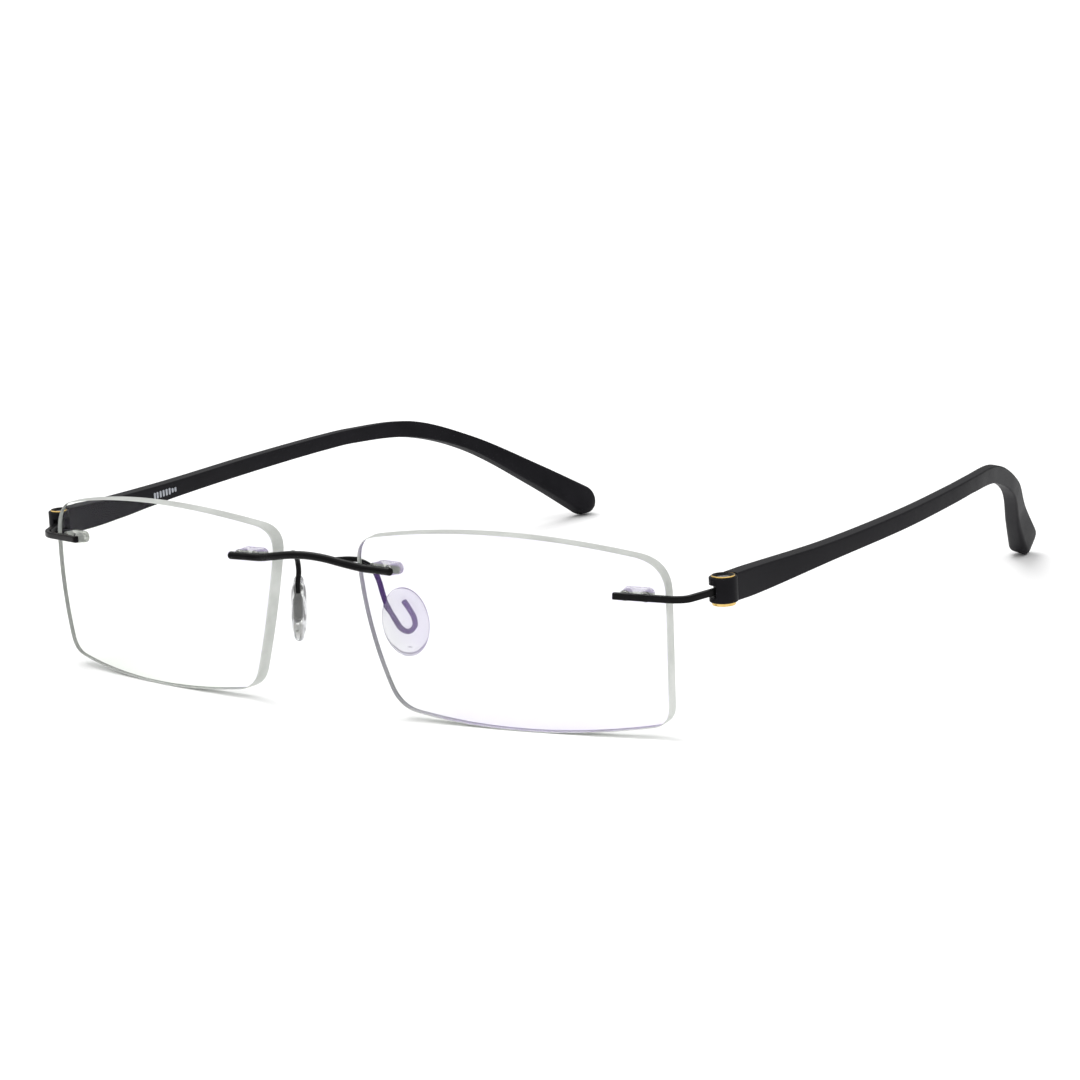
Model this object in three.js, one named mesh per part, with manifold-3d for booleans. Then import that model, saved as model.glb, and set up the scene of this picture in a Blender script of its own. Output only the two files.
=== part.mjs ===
// Rimless eyeglasses with compression-mounted lenses and screwless hinges, 54-17-140.
// Millimetres. +X is the wearer's left, -Y the front, +Z up. The glasses stand open on z = 0.

import * as THREE from 'three';
import { mergeVertices } from 'three/addons/utils/BufferGeometryUtils.js';
import Module from 'manifold-3d';

const wasm = await Module();
wasm.setup();

const { degToRad } = THREE.MathUtils;
const vec = (x, y, z) => new THREE.Vector3(x, y, z);

// ---------- driving dimensions ----------

// Lens: front surface centre, wrap and tilt, front radius, thickness.
const LENS_CENTRE = vec(36.1, 0, 15.5);
const LENS_WRAP = degToRad(8.3);
const LENS_TILT = degToRad(2);
const LENS_RADIUS = 107.6;
const LENS_THICKNESS = 2.3;
const LENS_BLANK_RADIUS = 33;
const LENS_BLANK_RINGS = 5;
const LENS_CUT_DEPTH = 14;
const LENS_CUT_FRONT = 4;

// Lens outline in the lens plane: u runs from nose to temple, v runs up.
// Each corner starts a side, which bows outwards by `bow` on its way to the next corner.
const LENS_CORNERS = [
  { u: -27.8, v: 12.8, round: 3.8, bow: 3.25 },
  { u: 25.9, v: 11.8, round: 4.8, bow: 0.35 },
  { u: 25.1, v: -13.6, round: 2.7, bow: 1.8 },
  { u: -21.3, v: -13.8, round: 3.3, bow: 1.2 },
];
const SIDE_STEPS = 9;
const CORNER_STEPS = 5;

// Compression mounts: two drilled holes each, at a nasal and a temporal place on the lens.
// `lean` turns a mount's pair of holes in the lens's surface.
const NASAL_MOUNT = { u: -22.5, v: 8.6, lean: 0 };
const TEMPORAL_MOUNT = { u: 21.2, v: 6.9, lean: degToRad(-3.5) };
const PIN_SPACING = 3.2;
const LENS_HOLE_RADIUS = 0.85;
const DRILL_REACH = 5;

// Clear double bush: a plate behind the lens with two hollow legs in the holes.
const BUSH_LENGTH = 4.9;
const BUSH_HEIGHT = 1.9;
const BUSH_DEPTH = 1;
const BUSH_BEVEL = 0.3;
const BUSH_FLAT = 0.01;
const LEG_ROOT = 0.5;
const BUSH_LEG_RADIUS = 0.74;
const BUSH_BORE_RADIUS = 0.5;
const SEAT_GAP = 0.12;

// Pins on the back of the bridge and of the endpieces.
const PIN_RADIUS = 0.4;
const PIN_REACH = 3;
const BORE_DEPTH = 0.7;
const COLLAR_RADIUS = 0.6;
const COLLAR_HEIGHT = 0.15;
const COLLAR_BASE = 0.05;
const PIN_SEGMENTS = 10;

// Bridge: one round wire, arched between the lenses.
const BRIDGE_RADIUS = 0.68;
const BRIDGE_SEGMENTS = 10;
const BRIDGE_STEPS = 32;
const BALL_ROWS = 6;
const BRIDGE_END = 2.5;
const BRIDGE_EDGE = -3.2;
const BRIDGE_ARCH = [vec(7, -2.05, 24.8), vec(3.5, -2.25, 25.35), vec(0, -2.3, 25.55)];

// Endpiece: a flat bar across the lens that bends back to the hinge.
const BAR_HEIGHT = 1.05;
const BAR_DEPTH = 0.95;
const BAR_ROUND = 0.25;
const BAR_INNER_END = -3.3;
const BAR_LENS_EDGE = 5;
// The bend ends at this share of the way from the knee to the hinge.
const BAR_BEND_SHARE = 0.25;
const BAR_STEPS = 20;
const BAR_KNEE = vec(64.2, 7, 22.1);

// Nose pads: tilted ovals, and the wire arms that hook into them.
const PAD_CENTRE = vec(11.1, 8.5, 13.7);
const PAD_DOWN = vec(0.142, 0.11, -0.984).normalize();
const PAD_OUTWARD_ANGLE = degToRad(-35.3);
const PAD_HALF_LENGTH = 5.6;
const PAD_HALF_WIDTH = 3.75;
const PAD_THICKNESS = 2.5;
const PAD_BEVEL = 0.65;
const ARM_RADIUS = 0.43;
const ARM_TUNNEL_GAP = 0.1;
const ARM_SEGMENTS = 8;
const ARM_STEPS = 40;
const ARM_ROUTE = [
  vec(4.3, -1.2, 25),
  vec(5.9, 1.3, 24.75),
  vec(7.2, 3.6, 24),
  vec(8, 5.05, 22.6),
  vec(8.45, 5.75, 20.6),
];
// The hook inside the pad: x across it towards the face, y up it, from the pad's middle.
const ARM_HOOK = [
  [-2.5, 5.4],
  [-2.3, 3.4],
  [-1.6, 1],
  [-0.95, -0.8],
  [0.1, -1.55],
  [1.15, -0.9],
  [1.3, 0.4],
  [0.95, 1.7],
  [0.4, 3.3],
];

// Hinge: a gold sleeve on the endpiece turns inside the temple's barrel.
const HINGE_AXIS = vec(66.85, 14.1, 0);
const BARREL_BOTTOM = 20.75;
const BARREL_TOP = 24.6;
const BARREL_RADIUS = 2.2;
const BARREL_BORE = 1.63;
const SLEEVE_RADIUS = 1.55;
const SLEEVE_BORE = 1.3;
const SLEEVE_FLANGE = 1.84;
const SLEEVE_TOP_FLANGE = 0.2;
const SLEEVE_BOTTOM_FLANGE = 0.5;
const SLEEVE_BEVEL = 0.15;
const HINGE_SEGMENTS = 20;
const ROOM_ABOVE_FLANGE = 0.5;
const ROOM_BELOW_FLANGE = 0.2;
const CUT_BEYOND = 5;
const FLANGE_GAP = 0.05;
const HINGE_PIN_RADIUS = 1.2;
const HINGE_PIN_RECESS = 0.1;
const SLOT_MIDDLE = 22.5;
const SLOT_HEIGHT = 1.9;
const SLOT_FROM = degToRad(144);
const SLOT_TO = degToRad(270);

// Temple: stations from the hinge back along its length. `back` and `side` are measured from the
// hinge axis (side is positive outwards), `height` is the middle's height above the ground.
const TEMPLE_STATIONS = [
  { back: 0.9, side: 0, height: 22.65, tall: 4.4, thick: 2.7, lean: 0 },
  { back: 9, side: 0, height: 22.5, tall: 4.35, thick: 2.7, lean: 0 },
  { back: 29, side: 0.95, height: 22.8, tall: 3.1, thick: 2.65, lean: 0 },
  { back: 53, side: 1.2, height: 23.3, tall: 2.9, thick: 2.4, lean: 0 },
  { back: 72, side: 0, height: 23.75, tall: 2.8, thick: 2.2, lean: 0 },
  { back: 80, side: -1.05, height: 23.8, tall: 2.8, thick: 2.1, lean: 1 },
  { back: 94.1, side: -4.1, height: 22.75, tall: 3.15, thick: 1.9, lean: 8 },
  { back: 107.3, side: -7.95, height: 17.95, tall: 2.85, thick: 2.5, lean: 14 },
  { back: 120.5, side: -13.85, height: 9.75, tall: 4.25, thick: 2.95, lean: 17 },
  { back: 133, side: -18.85, height: 1.41, tall: 5.8, thick: 4.15, lean: 20 },
];
const TEMPLE_STEPS = 34;
const TIP_ROUND = 0.025;
const TIP_STEPS = 5;
const TIP_LAST_ANGLE = degToRad(86);
const SECTION_POINTS = 12;
const SECTION_SQUARENESS = 0.35;

// ---------- helpers ----------

const WELD_DISTANCE = 1e-4;
const BLANK_SEGMENTS = 32;

function toSolid(geometry) {
  const bare = geometry.clone();
  bare.deleteAttribute('normal');
  bare.deleteAttribute('uv');
  const merged = mergeVertices(bare, WELD_DISTANCE);
  return new wasm.Manifold(new wasm.Mesh({
    numProp: 3,
    vertProperties: new Float32Array(merged.attributes.position.array),
    triVerts: new Uint32Array(merged.index.array),
  }));
}

function toGeometry(solid) {
  const mesh = solid.getMesh();
  const geometry = new THREE.BufferGeometry();
  geometry.setAttribute('position', new THREE.BufferAttribute(mesh.vertProperties, 3));
  geometry.setIndex(new THREE.BufferAttribute(mesh.triVerts, 1));
  geometry.computeVertexNormals();
  return geometry;
}

function mirrorX(geometry) {
  const twin = geometry.clone().scale(-1, 1, 1);
  const flat = twin.index ? twin.toNonIndexed() : twin;
  const place = flat.attributes.position;
  for (let i = 0; i < place.count; i += 3) {
    const second = new THREE.Vector3().fromBufferAttribute(place, i + 1);
    const third = new THREE.Vector3().fromBufferAttribute(place, i + 2);
    place.setXYZ(i + 1, third.x, third.y, third.z);
    place.setXYZ(i + 2, second.x, second.y, second.z);
  }
  flat.computeVertexNormals();
  return flat;
}

function roundSection(radius, points) {
  const shape = new THREE.Shape();
  shape.absarc(0, 0, radius, 0, 2 * Math.PI);
  return new THREE.Shape(shape.getSpacedPoints(points).slice(0, points));
}

function roundedRectangle(width, height, round) {
  const x = width / 2;
  const y = height / 2;
  const shape = new THREE.Shape();
  shape.absarc(x - round, -y + round, round, -Math.PI / 2, 0);
  shape.absarc(x - round, y - round, round, 0, Math.PI / 2);
  shape.absarc(-x + round, y - round, round, Math.PI / 2, Math.PI);
  shape.absarc(-x + round, -y + round, round, Math.PI, 1.5 * Math.PI);
  return shape;
}

function sweep(section, curve, steps) {
  return new THREE.ExtrudeGeometry(section, { extrudePath: curve, steps, curveSegments: 1 });
}

// A profile of [radius, height] pairs, turned about Z.
function turned(profile, segments) {
  const points = profile.map(([radius, height]) => new THREE.Vector2(radius, height));
  return new THREE.LatheGeometry(points, segments).rotateX(Math.PI / 2);
}

// A rod along Z between two heights.
function rod(radius, bottom, top, segments) {
  const middle = (bottom + top) / 2;
  return new THREE.CylinderGeometry(radius, radius, top - bottom, segments)
    .rotateX(Math.PI / 2)
    .translate(0, 0, middle);
}

// ---------- frames that the pieces are placed in ----------

// Lens frame: x towards the temple, y up, z to the front, origin at the front surface's middle.
const lensFrame = new THREE.Matrix4()
  .makeRotationZ(LENS_WRAP)
  .multiply(new THREE.Matrix4().makeRotationX(Math.PI / 2 + LENS_TILT))
  .setPosition(LENS_CENTRE);

// A frame on the lens's front surface: x along the surface, y up, z out of the surface.
function surfaceFrame({ u, v, lean }) {
  const depth = Math.sqrt(LENS_RADIUS ** 2 - u ** 2 - v ** 2);
  const outward = vec(u, v, depth).normalize();
  const along = vec(0, 1, 0).cross(outward).normalize();
  const upward = outward.clone().cross(along);
  const local = new THREE.Matrix4()
    .makeBasis(along, upward, outward)
    .setPosition(vec(u, v, depth - LENS_RADIUS))
    .multiply(new THREE.Matrix4().makeRotationZ(lean));
  return lensFrame.clone().multiply(local);
}

const nasalFrame = surfaceFrame(NASAL_MOUNT);
const temporalFrame = surfaceFrame(TEMPORAL_MOUNT);
const onSurface = (frame, along, out) => vec(along, 0, out).applyMatrix4(frame);

// Pad frame: x across the pad towards the face, y up it, z outwards from the nose.
function makePadFrame() {
  const outward = vec(Math.cos(PAD_OUTWARD_ANGLE), Math.sin(PAD_OUTWARD_ANGLE), 0);
  outward.addScaledVector(PAD_DOWN, -outward.dot(PAD_DOWN)).normalize();
  const across = outward.clone().cross(PAD_DOWN);
  return new THREE.Matrix4()
    .makeBasis(across, PAD_DOWN.clone().negate(), outward)
    .setPosition(PAD_CENTRE);
}
const padFrame = makePadFrame();

// ---------- lenses ----------

function lensOutline() {
  const corners = LENS_CORNERS.map(({ u, v }) => new THREE.Vector2(u, v));
  const sides = LENS_CORNERS.map(({ bow }, i) => {
    const from = corners[i];
    const to = corners[(i + 1) % corners.length];
    const run = to.clone().sub(from).normalize();
    const outwards = new THREE.Vector2(-run.y, run.x);
    // A quadratic curve passes half way to its control point, so the control is 2 bows out.
    const control = from.clone().add(to).divideScalar(2).addScaledVector(outwards, 2 * bow);
    return new THREE.QuadraticBezierCurve(from, control, to);
  });
  const points = [];
  sides.forEach((side, i) => {
    const next = LENS_CORNERS[(i + 1) % corners.length];
    const start = LENS_CORNERS[i].round / side.getLength();
    const stop = 1 - next.round / side.getLength();
    for (let k = 0; k <= SIDE_STEPS; k += 1) {
      points.push(side.getPoint(start + ((stop - start) * k) / SIDE_STEPS));
    }
    const nextSide = sides[(i + 1) % sides.length];
    const bend = new THREE.QuadraticBezierCurve(
      side.getPoint(stop),
      side.v2,
      nextSide.getPoint(next.round / nextSide.getLength()),
    );
    points.push(...bend.getPoints(CORNER_STEPS).slice(1, -1));
  });
  return new THREE.Shape(points.reverse());
}

// The uncut blank: a round shell of constant thickness, turned about the lens's axis.
function lensBlank() {
  const back = LENS_RADIUS - LENS_THICKNESS;
  const height = (radius, r) => Math.sqrt(radius ** 2 - r ** 2) - LENS_RADIUS;
  const profile = [];
  for (let i = 0; i <= LENS_BLANK_RINGS; i += 1) {
    const r = (LENS_BLANK_RADIUS * i) / LENS_BLANK_RINGS;
    profile.push([r, height(back, r)]);
  }
  for (let i = LENS_BLANK_RINGS; i >= 0; i -= 1) {
    const r = (LENS_BLANK_RADIUS * i) / LENS_BLANK_RINGS;
    profile.push([r, height(LENS_RADIUS, r)]);
  }
  return turned(profile, BLANK_SEGMENTS);
}

function lens() {
  const cutter = new THREE.ExtrudeGeometry(lensOutline(), {
    depth: LENS_CUT_DEPTH,
    bevelEnabled: false,
  });
  cutter.translate(0, 0, LENS_CUT_FRONT - LENS_CUT_DEPTH);
  let solid = toSolid(lensBlank()).intersect(toSolid(cutter));
  const toLens = lensFrame.clone().invert();
  for (const frame of [nasalFrame, temporalFrame]) {
    for (const side of [-1, 1]) {
      const drill = rod(LENS_HOLE_RADIUS, -DRILL_REACH, DRILL_REACH, PIN_SEGMENTS)
        .translate((side * PIN_SPACING) / 2, 0, 0)
        .applyMatrix4(frame)
        .applyMatrix4(toLens);
      solid = solid.subtract(toSolid(drill));
    }
  }
  return toGeometry(solid).applyMatrix4(lensFrame);
}

// ---------- compression mounts ----------

function bush(frame) {
  const outline = roundedRectangle(
    BUSH_LENGTH - 2 * BUSH_BEVEL,
    BUSH_HEIGHT - 2 * BUSH_BEVEL,
    BUSH_HEIGHT / 2 - BUSH_BEVEL - BUSH_FLAT,
  );
  const plate = new THREE.ExtrudeGeometry(outline, {
    depth: BUSH_DEPTH - 2 * BUSH_BEVEL,
    bevelThickness: BUSH_BEVEL,
    bevelSize: BUSH_BEVEL,
    bevelSegments: 1,
    curveSegments: 2,
  });
  const plateFront = -LENS_THICKNESS - SEAT_GAP;
  let solid = toSolid(plate.translate(0, 0, plateFront - BUSH_DEPTH + BUSH_BEVEL));
  for (const side of [-1, 1]) {
    const x = (side * PIN_SPACING) / 2;
    const leg = rod(BUSH_LEG_RADIUS, plateFront - LEG_ROOT, -SEAT_GAP, PIN_SEGMENTS);
    const bore = rod(BUSH_BORE_RADIUS, plateFront - BORE_DEPTH, BORE_DEPTH, PIN_SEGMENTS);
    solid = solid.add(toSolid(leg.translate(x, 0, 0))).subtract(toSolid(bore.translate(x, 0, 0)));
  }
  return toGeometry(solid).applyMatrix4(frame);
}

function pin(frame, side) {
  const collarTop = COLLAR_BASE + COLLAR_HEIGHT;
  return turned([
    [0, -PIN_REACH],
    [PIN_RADIUS, -PIN_REACH],
    [PIN_RADIUS, COLLAR_BASE],
    [COLLAR_RADIUS, COLLAR_BASE],
    [COLLAR_RADIUS, collarTop],
    [0, collarTop],
  ], PIN_SEGMENTS).translate((side * PIN_SPACING) / 2, 0, 0).applyMatrix4(frame);
}

// How far the middle of a bar stands off the lens when its back rests on the pins' collars.
const standOff = (halfDepth) => COLLAR_BASE + COLLAR_HEIGHT + FLANGE_GAP + halfDepth;

// ---------- bridge, endpieces, pad arms ----------

function bridge() {
  const out = standOff(BRIDGE_RADIUS);
  const onLens = [BRIDGE_END, 0, BRIDGE_EDGE].map((along) => onSurface(nasalFrame, along, out));
  const half = [...onLens, ...BRIDGE_ARCH];
  const otherHalf = half.slice(0, -1).reverse().map((p) => vec(-p.x, p.y, p.z));
  const curve = new THREE.CatmullRomCurve3([...half, ...otherHalf]);
  let solid = toSolid(sweep(roundSection(BRIDGE_RADIUS, BRIDGE_SEGMENTS), curve, BRIDGE_STEPS));
  for (const end of [curve.getPoint(0), curve.getPoint(1)]) {
    const ball = new THREE.SphereGeometry(BRIDGE_RADIUS, BRIDGE_SEGMENTS, BALL_ROWS);
    ball.rotateX(Math.PI / 2);
    solid = solid.add(toSolid(ball.translate(end.x, end.y, end.z)));
  }
  return toGeometry(solid);
}

// Where the endpiece's wire meets the hinge sleeve.
function wireEnd() {
  const fromAxis = BAR_KNEE.clone().sub(HINGE_AXIS).setZ(0).setLength(SLEEVE_RADIUS + SEAT_GAP);
  return HINGE_AXIS.clone().add(fromAxis).setZ(SLOT_MIDDLE);
}

function endpiece() {
  const out = standOff(BAR_DEPTH / 2);
  const inner = onSurface(temporalFrame, BAR_INNER_END, out);
  const edge = onSurface(temporalFrame, BAR_LENS_EDGE, out);
  const beyond = BAR_KNEE.clone().lerp(wireEnd(), BAR_BEND_SHARE);
  const path = new THREE.CurvePath();
  path.add(new THREE.LineCurve3(inner, edge));
  path.add(new THREE.QuadraticBezierCurve3(edge, BAR_KNEE, beyond));
  path.add(new THREE.LineCurve3(beyond, wireEnd()));
  return sweep(roundedRectangle(BAR_HEIGHT, BAR_DEPTH, BAR_ROUND), path, BAR_STEPS);
}

function armCurve() {
  const hook = ARM_HOOK.map(([across, up]) => vec(across, up, 0).applyMatrix4(padFrame));
  return new THREE.CatmullRomCurve3([...ARM_ROUTE, ...hook]);
}

function padArm() {
  return sweep(roundSection(ARM_RADIUS, ARM_SEGMENTS), armCurve(), ARM_STEPS);
}

function nosePad() {
  const outline = new THREE.Shape();
  outline.absellipse(0, 0, PAD_HALF_WIDTH - PAD_BEVEL, PAD_HALF_LENGTH - PAD_BEVEL, 0, 2 * Math.PI);
  const oval = new THREE.ExtrudeGeometry(outline, {
    depth: PAD_THICKNESS - 2 * PAD_BEVEL,
    bevelThickness: PAD_BEVEL,
    bevelSize: PAD_BEVEL,
    bevelSegments: 2,
    curveSegments: 12,
  });
  oval.translate(0, 0, PAD_BEVEL - PAD_THICKNESS / 2).applyMatrix4(padFrame);
  const bore = roundSection(ARM_RADIUS + ARM_TUNNEL_GAP, ARM_SEGMENTS);
  const tunnel = sweep(bore, armCurve(), ARM_STEPS);
  return toGeometry(toSolid(oval).subtract(toSolid(tunnel)));
}

// ---------- hinges ----------

function atHinge(geometry) {
  return geometry.translate(HINGE_AXIS.x, HINGE_AXIS.y, 0);
}

function hingeSleeve() {
  const low = BARREL_BOTTOM - FLANGE_GAP;
  const high = BARREL_TOP + FLANGE_GAP;
  return atHinge(turned([
    [SLEEVE_BORE, low - SLEEVE_BOTTOM_FLANGE],
    [SLEEVE_FLANGE - SLEEVE_BEVEL, low - SLEEVE_BOTTOM_FLANGE],
    [SLEEVE_FLANGE, low - SLEEVE_BOTTOM_FLANGE + SLEEVE_BEVEL],
    [SLEEVE_FLANGE, low],
    [SLEEVE_RADIUS, low],
    [SLEEVE_RADIUS, high],
    [SLEEVE_FLANGE, high],
    [SLEEVE_FLANGE, high + SLEEVE_TOP_FLANGE],
    [SLEEVE_BORE + SLEEVE_TOP_FLANGE, high + SLEEVE_TOP_FLANGE],
    [SLEEVE_BORE, high],
    [SLEEVE_BORE, low - SLEEVE_BOTTOM_FLANGE],
  ], HINGE_SEGMENTS));
}

function hingePin() {
  const bottom = BARREL_BOTTOM - SLEEVE_BOTTOM_FLANGE;
  return atHinge(rod(HINGE_PIN_RADIUS, bottom, BARREL_TOP - HINGE_PIN_RECESS, HINGE_SEGMENTS));
}

// ---------- temples ----------

function templeCurves() {
  const centres = TEMPLE_STATIONS.map(({ back, side, height }) => (
    vec(HINGE_AXIS.x + side, HINGE_AXIS.y + back, height)
  ));
  const sizes = TEMPLE_STATIONS.map(({ tall, thick, lean }) => vec(tall, thick, degToRad(lean)));
  return {
    centre: new THREE.CatmullRomCurve3(centres),
    size: new THREE.CatmullRomCurve3(sizes, false, 'catmullrom'),
  };
}

// One rounded-rectangle ring of the temple, as points in space.
function templeRing(curves, t, shrink) {
  const centre = curves.centre.getPoint(t);
  const run = curves.centre.getTangent(t);
  const { x: tall, y: thick, z: lean } = curves.size.getPoint(t);
  const outward = run.clone().cross(vec(0, 0, 1)).normalize();
  const upward = outward.clone().cross(run);
  outward.applyAxisAngle(run, lean);
  upward.applyAxisAngle(run, lean);
  const round = (value) => Math.sign(value) * Math.abs(value) ** SECTION_SQUARENESS;
  const ring = [];
  for (let i = 0; i < SECTION_POINTS; i += 1) {
    const angle = (2 * Math.PI * (i + 0.5)) / SECTION_POINTS;
    ring.push(centre.clone()
      .addScaledVector(outward, (round(Math.cos(angle)) * thick * Math.sqrt(shrink)) / 2)
      .addScaledVector(upward, (round(Math.sin(angle)) * tall * shrink) / 2));
  }
  return ring;
}

// Rings joined into one closed skin, with a fan of triangles at each end.
function loft(rings) {
  const count = rings[0].length;
  const points = rings.flat();
  const index = [];
  for (let i = 0; i < rings.length - 1; i += 1) {
    for (let k = 0; k < count; k += 1) {
      const a = i * count + k;
      const b = i * count + ((k + 1) % count);
      index.push(a, a + count, b, b, a + count, b + count);
    }
  }
  const last = (rings.length - 1) * count;
  for (let k = 1; k < count - 1; k += 1) {
    index.push(0, k, k + 1);
    index.push(last, last + k + 1, last + k);
  }
  const geometry = new THREE.BufferGeometry().setFromPoints(points);
  geometry.setIndex(index);
  geometry.computeVertexNormals();
  return geometry;
}

function temple() {
  const curves = templeCurves();
  const rings = [];
  for (let i = 0; i <= TEMPLE_STEPS; i += 1) {
    rings.push(templeRing(curves, ((1 - TIP_ROUND) * i) / TEMPLE_STEPS, 1));
  }
  for (let i = 1; i <= TIP_STEPS; i += 1) {
    const angle = (TIP_LAST_ANGLE * i) / TIP_STEPS;
    rings.push(templeRing(curves, 1 - TIP_ROUND * (1 - Math.sin(angle)), Math.cos(angle)));
  }
  const top = BARREL_TOP + CUT_BEYOND;
  const bottom = BARREL_BOTTOM - CUT_BEYOND;
  const cylinder = (radius, low, high) => atHinge(rod(radius, low, high, HINGE_SEGMENTS));
  const barrel = cylinder(BARREL_RADIUS, BARREL_BOTTOM, BARREL_TOP);
  const bore = cylinder(BARREL_BORE, bottom, top);
  const roomAbove = cylinder(SLEEVE_FLANGE + ROOM_ABOVE_FLANGE, BARREL_TOP, top);
  const roomBelow = cylinder(SLEEVE_FLANGE + ROOM_BELOW_FLANGE, bottom, BARREL_BOTTOM);
  const sector = new THREE.Shape();
  sector.moveTo(0, 0);
  sector.lineTo(2 * BARREL_RADIUS * Math.cos(SLOT_FROM), 2 * BARREL_RADIUS * Math.sin(SLOT_FROM));
  sector.absarc(0, 0, 2 * BARREL_RADIUS, SLOT_FROM, SLOT_TO);
  const slot = new THREE.ExtrudeGeometry(sector, { depth: SLOT_HEIGHT, bevelEnabled: false });
  atHinge(slot.translate(0, 0, SLOT_MIDDLE - SLOT_HEIGHT / 2));
  return toGeometry(toSolid(loft(rings))
    .add(toSolid(barrel))
    .subtract(toSolid(bore))
    .subtract(toSolid(roomAbove))
    .subtract(toSolid(roomBelow))
    .subtract(toSolid(slot)));
}

// ---------- materials ----------

function finish(colour, roughness, metalness) {
  return new THREE.MeshStandardMaterial({ color: colour, roughness, metalness });
}
const clearLens = finish(0xeef3f0, 0.05, 0);
const clearPlastic = finish(0xe9edee, 0.15, 0);
const clearSilicone = finish(0xe6eaf0, 0.25, 0);
const blackMetal = finish(0x17171a, 0.25, 0.9);
const mattBlack = finish(0x1d1d20, 0.6, 0);
const gold = finish(0xd2a33c, 0.2, 1);
const steel = finish(0xb9bcc0, 0.15, 1);

// ---------- assembly ----------

const glasses = new THREE.Group();

function place(name, geometry, material) {
  const mesh = new THREE.Mesh(geometry, material);
  mesh.name = name;
  glasses.add(mesh);
}

function placePair(name, geometry, material) {
  place(`left_${name}`, geometry, material);
  place(`right_${name}`, mirrorX(geometry), material);
}

place('bridge', bridge(), blackMetal);
placePair('lens', lens(), clearLens);
placePair('bridge_bush', bush(nasalFrame), clearPlastic);
placePair('bridge_pin_inner', pin(nasalFrame, -1), steel);
placePair('bridge_pin_outer', pin(nasalFrame, 1), steel);
placePair('endpiece_bush', bush(temporalFrame), clearPlastic);
placePair('endpiece_pin_inner', pin(temporalFrame, -1), steel);
placePair('endpiece_pin_outer', pin(temporalFrame, 1), steel);
placePair('endpiece', endpiece(), blackMetal);
placePair('pad_arm', padArm(), blackMetal);
placePair('nose_pad', nosePad(), clearSilicone);
placePair('hinge_sleeve', hingeSleeve(), gold);
placePair('hinge_pin', hingePin(), steel);
placePair('temple', temple(), mattBlack);

// The origin is the middle of the glasses' footprint, on the ground.
const box = new THREE.Box3().setFromObject(glasses);
glasses.position.set(0, -(box.min.y + box.max.y) / 2, -box.min.z);

export default glasses;
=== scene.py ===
"""Rimless eyeglasses: fine shapes, materials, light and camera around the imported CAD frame.

Lengths are the design's millimetres until `to_row` turns them into the row frame's metres.
The wearer's left side (+X) is modelled, and each left piece is mirrored for the right side.
"""

import math

import bpy
from mathutils import Matrix, Vector
from mathutils.geometry import delaunay_2d_cdt


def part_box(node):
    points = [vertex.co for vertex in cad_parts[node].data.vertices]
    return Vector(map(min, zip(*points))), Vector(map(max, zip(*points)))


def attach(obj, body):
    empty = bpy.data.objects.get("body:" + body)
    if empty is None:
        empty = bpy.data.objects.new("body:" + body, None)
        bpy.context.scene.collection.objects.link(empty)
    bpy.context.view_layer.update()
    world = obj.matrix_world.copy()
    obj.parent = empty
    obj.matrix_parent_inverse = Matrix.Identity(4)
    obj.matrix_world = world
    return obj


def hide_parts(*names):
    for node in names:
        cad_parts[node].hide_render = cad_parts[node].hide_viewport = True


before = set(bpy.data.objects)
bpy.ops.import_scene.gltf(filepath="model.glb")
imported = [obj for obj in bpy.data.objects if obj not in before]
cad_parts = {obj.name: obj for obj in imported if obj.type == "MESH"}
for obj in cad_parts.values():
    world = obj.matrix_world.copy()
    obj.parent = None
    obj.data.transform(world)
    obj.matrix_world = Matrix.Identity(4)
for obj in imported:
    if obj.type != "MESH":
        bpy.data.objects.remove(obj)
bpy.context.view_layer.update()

# ---------- design dimensions, as in the CAD part ----------

MM = 0.001

LENS_CENTRE = Vector((36.1, 0, 15.5))
LENS_WRAP = math.radians(8.3)
LENS_TILT = math.radians(2)
LENS_RADIUS = 107.6
LENS_THICKNESS = 2.3
LENS_CHAMFER = 0.16
LENS_GRID = 2.6
# Corners in the lens plane as (u, v, rounding, bow of the side that starts here).
LENS_CORNERS = [
    (-27.8, 12.8, 3.8, 3.25),
    (25.9, 11.8, 4.8, 0.35),
    (25.1, -13.6, 2.7, 1.8),
    (-21.3, -13.8, 3.3, 1.2),
]
SIDE_STEPS = 26
CORNER_STEPS = 12
LENGTH_STEPS = 50

# Mounts on the lens surface as (u, v, lean).
NASAL_MOUNT = (-22.5, 8.6, 0)
TEMPORAL_MOUNT = (21.2, 6.9, math.radians(-3.5))
PIN_SPACING = 3.2
LENS_HOLE_RADIUS = 0.85

BUSH_LENGTH = 4.9
BUSH_HEIGHT = 1.9
BUSH_DEPTH = 1.0
BUSH_LEG_RADIUS = 0.74
BUSH_LEG_SINK = 0.3
BUSH_LEG_CHAMFER = 0.1
BUSH_ROUND = 0.28
BUSH_ROUND_STEPS = 4
SEAT_GAP = 0.12

PIN_RADIUS = 0.4
PIN_REACH = 3.0
COLLAR_RADIUS = 0.6
COLLAR_HEIGHT = 0.15
COLLAR_BASE = 0.05
FLANGE_GAP = 0.05

BRIDGE_RADIUS = 0.645
BRIDGE_END_DOME = 0.75
BRIDGE_END = 2.5
BRIDGE_EDGE = -3.2
BRIDGE_ARCH = [(7, -2.05, 24.8), (3.5, -2.25, 25.35), (0, -2.3, 25.55)]

BAR_HEIGHT = 1.05
BAR_DEPTH = 0.95
BAR_ROUND = 0.2
BAR_BEVEL = 0.12
BAR_INNER_END = -3.3
BAR_LENS_EDGE = 5.0
BAR_KNEE = Vector((64.2, 7, 22.1))
BAR_BEND_SHARE = 0.25

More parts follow.
